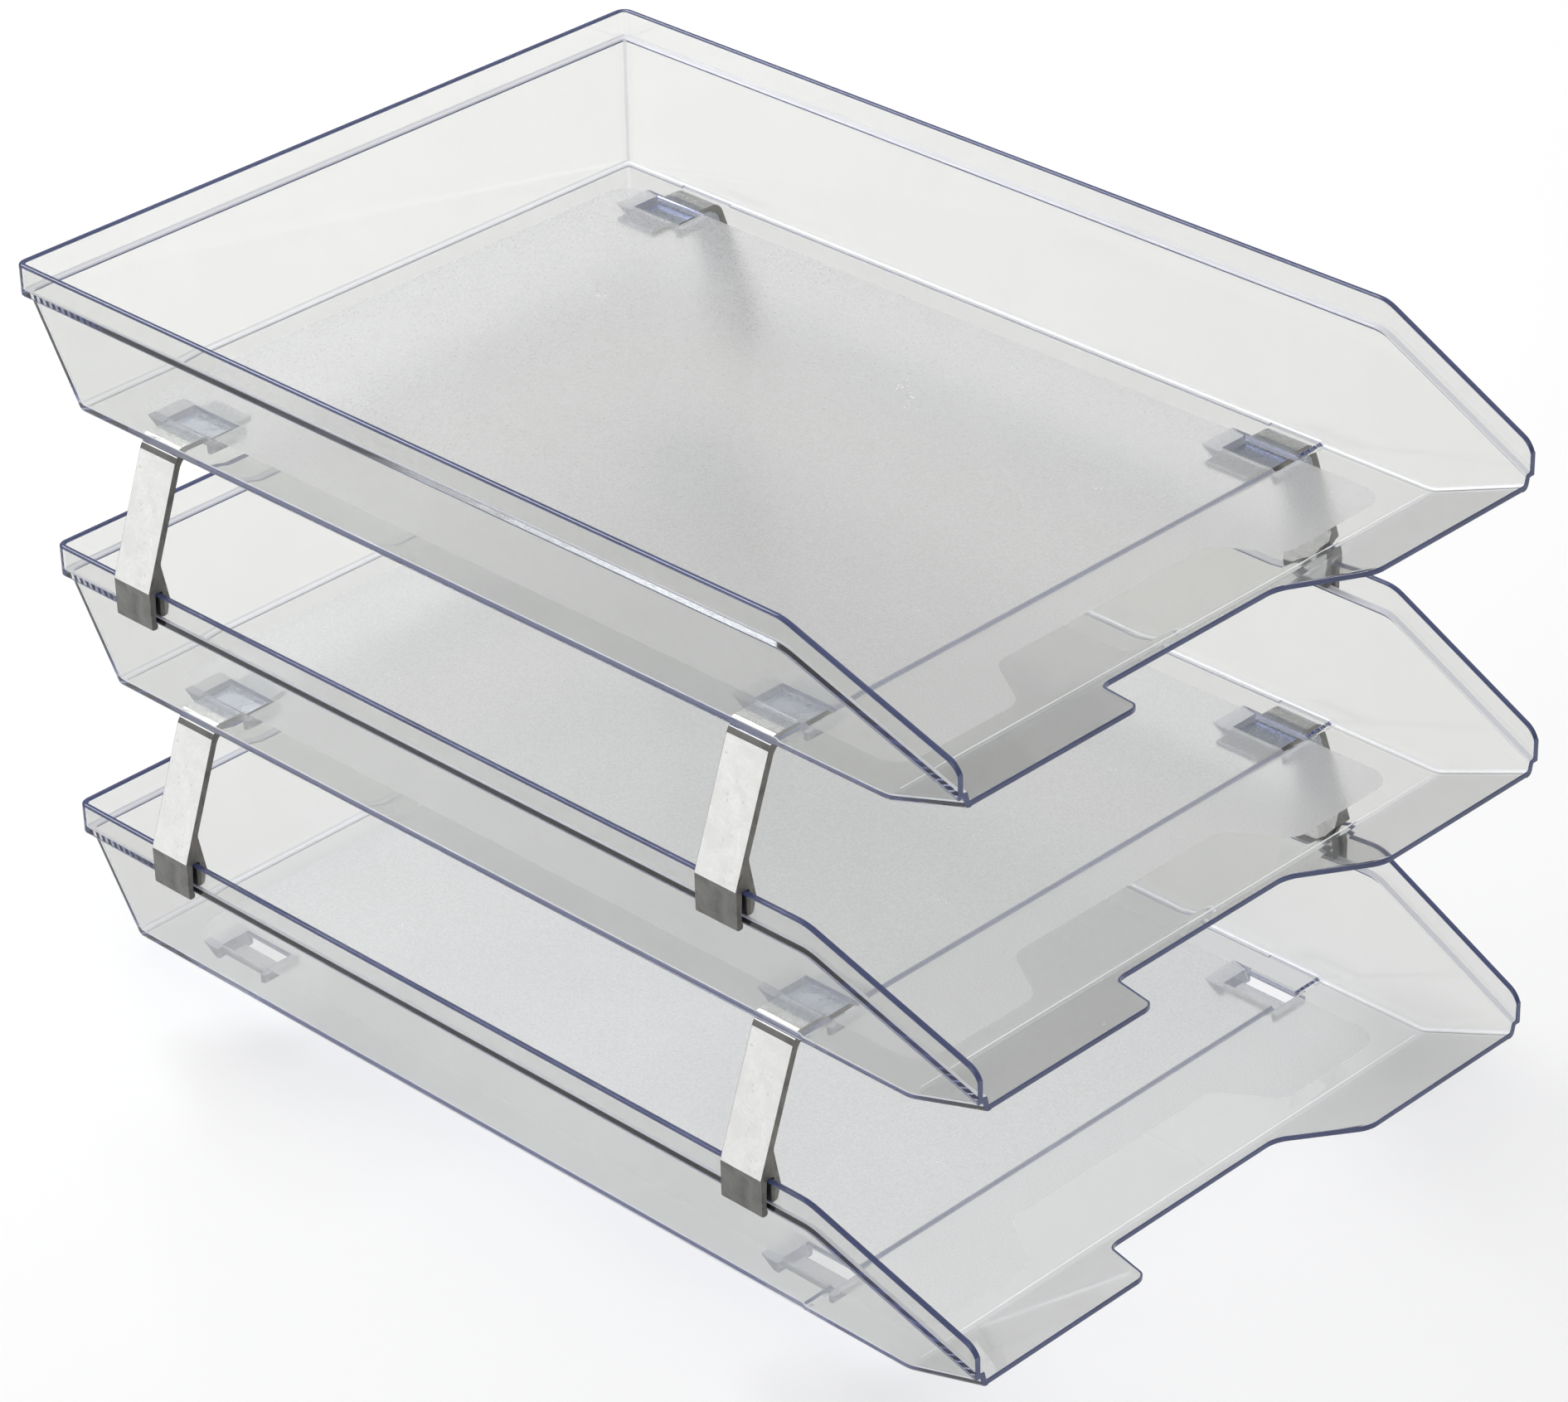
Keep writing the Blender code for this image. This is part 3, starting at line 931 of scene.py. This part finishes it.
# ---------------------------------------------------------------- scene
def main():
    moulded = plastic()
    bright = metal("riser_bright", (0.80, 0.80, 0.785), (0.89, 0.89, 0.88), 0.22, 0.32, ALONG)
    # fork, arm and bend are lit and shaded copies of the one metal: painted shade on the fork (dark)
    # and the arm (mid-grey), a painted highlight on the bend (brighter, glossier)
    painted_fork_shade = metal("riser_fork_painted_shade", (0.14, 0.14, 0.135), (0.21, 0.21, 0.20), 0.32, 0.44, ALONG, False)
    arm = metal("riser_arm_painted_shade", (0.43, 0.455, 0.51), (0.48, 0.51, 0.57), 0.24, 0.32, ALONG, False)
    bend = metal("riser_bend_painted_highlight", (0.80, 0.80, 0.79), (0.93, 0.93, 0.92), 0.06, 0.12, ALONG)
    cut = metal(
        "riser_cut_edge", (0.16, 0.155, 0.145), (0.28, 0.27, 0.25), 0.42, 0.6, ACROSS, False
    )

    tray = build_tray()
    for tier in TIERS:
        lo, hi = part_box("tray_" + tier)
        mesh = tray.copy()
        mesh.materials.append(moulded)
        obj = bpy.data.objects.new("clear_tray_" + tier, mesh)
        bpy.context.scene.collection.objects.link(obj)
        obj.location = (0.0, (lo.y + hi.y) / 2, lo.z + FOOT_DROP * MM)
        weighted(obj)
        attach(obj, tier)
        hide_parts("tray_" + tier)
    for side, sign in (("left", -1.0), ("right", 1.0)):
        shape = riser_mesh(sign)
        for material in (bright, painted_fork_shade, cut, arm, bend):
            shape.materials.append(material)
        for body, level in LEVELS:
            for end in ("back", "front"):
                node = "_".join(("riser", level, end, side))
                lo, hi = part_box(node)
                obj = bpy.data.objects.new("metal_" + node, shape)
                bpy.context.scene.collection.objects.link(obj)
                obj.location = (0.0, (lo.y + hi.y) / 2, hi.z - ARM_Z[1] * MM)
                weighted(obj)
                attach(obj, body)
                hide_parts(node)


def area_light(name, at, aim, size, power):
    data = bpy.data.lights.new(name, "AREA")
    data.shape = "RECTANGLE"
    data.size, data.size_y = size
    data.energy = power
    obj = bpy.data.objects.new(name, data)
    bpy.context.scene.collection.objects.link(obj)
    obj.location = at
    obj.rotation_euler = (Vector(aim) - Vector(at)).to_track_quat("-Z", "Y").to_euler()


def stage():
    bm = bmesh.new()
    bmesh.ops.create_circle(bm, cap_ends=True, segments=96, radius=GROUND_RADIUS)
    floor = mesh_object("studio_floor", bm)
    floor.location.z = -GROUND_GAP
    n = Nodes("studio_floor")
    tone = n.mix(n.noise(3.0, 2.0, 0.5), (0.86, 0.86, 0.86), (0.88, 0.88, 0.88))
    n.link(tone, n.bsdf.inputs["Base Color"])
    n.set(Roughness=0.9)
    floor.data.materials.append(n.mat)

    world = bpy.data.worlds.new("studio")
    bpy.context.scene.world = world
    world.use_nodes = True
    tree = world.node_tree
    back = tree.nodes["Background"]
    coords = tree.nodes.new("ShaderNodeTexCoord")
    split = tree.nodes.new("ShaderNodeSeparateXYZ")
    ramp = tree.nodes.new("ShaderNodeValToRGB")
    tree.links.new(coords.outputs["Generated"], split.inputs["Vector"])
    tree.links.new(split.outputs["Z"], ramp.inputs["Fac"])
    tree.links.new(ramp.outputs["Color"], back.inputs["Color"])
    ramp.color_ramp.elements[0].position = 0.02
    ramp.color_ramp.elements[0].color = (0.22, 0.22, 0.22, 1.0)
    ramp.color_ramp.elements[1].position = 0.75
    ramp.color_ramp.elements[1].color = (0.58, 0.58, 0.58, 1.0)
    back.inputs["Strength"].default_value = 1.0

    area_light("key_back", (0.32, 1.32, 1.74), (0.0, 0.0, 0.1), (1.2, 1.2), 32.5)
    area_light("fill_front", (-0.6, -1.6, 1.9), (0.0, 0.0, 0.1), (1.6, 1.2), 10.5)
    area_light("left_back", (-1.9, 1.5, 0.9), (0.0, 0.0, 0.2), (1.6, 1.8), 6.8)


def camera():
    azimuth = math.radians(CAMERA_AZIMUTH)
    elevation = math.radians(CAMERA_ELEVATION)
    roll = math.radians(CAMERA_ROLL)
    back = Vector((
        math.sin(azimuth) * math.cos(elevation),
        -math.cos(azimuth) * math.cos(elevation),
        math.sin(elevation),
    ))
    level = Vector((math.cos(azimuth), math.sin(azimuth), 0.0))
    right = (level * math.cos(roll) + back.cross(level) * math.sin(roll)).normalized()
    up = back.cross(right)
    data = bpy.data.cameras.new("camera")
    data.sensor_fit = "HORIZONTAL"
    data.sensor_width = 36.0
    data.lens = CAMERA_LENS
    data.clip_start = 0.05
    data.clip_end = 50.0
    obj = bpy.data.objects.new("camera", data)
    bpy.context.scene.collection.objects.link(obj)
    matrix = Matrix((right, up, back)).transposed().to_4x4()
    matrix.translation = CAMERA_AT
    obj.matrix_world = matrix
    bpy.context.scene.camera = obj


main()
stage()
camera()
scene = bpy.context.scene
scene.view_settings.view_transform = "Standard"
scene.cycles.max_bounces = 48
scene.cycles.transmission_bounces = 48
scene.cycles.glossy_bounces = 24
scene.cycles.diffuse_bounces = 4
scene.cycles.transparent_max_bounces = 16
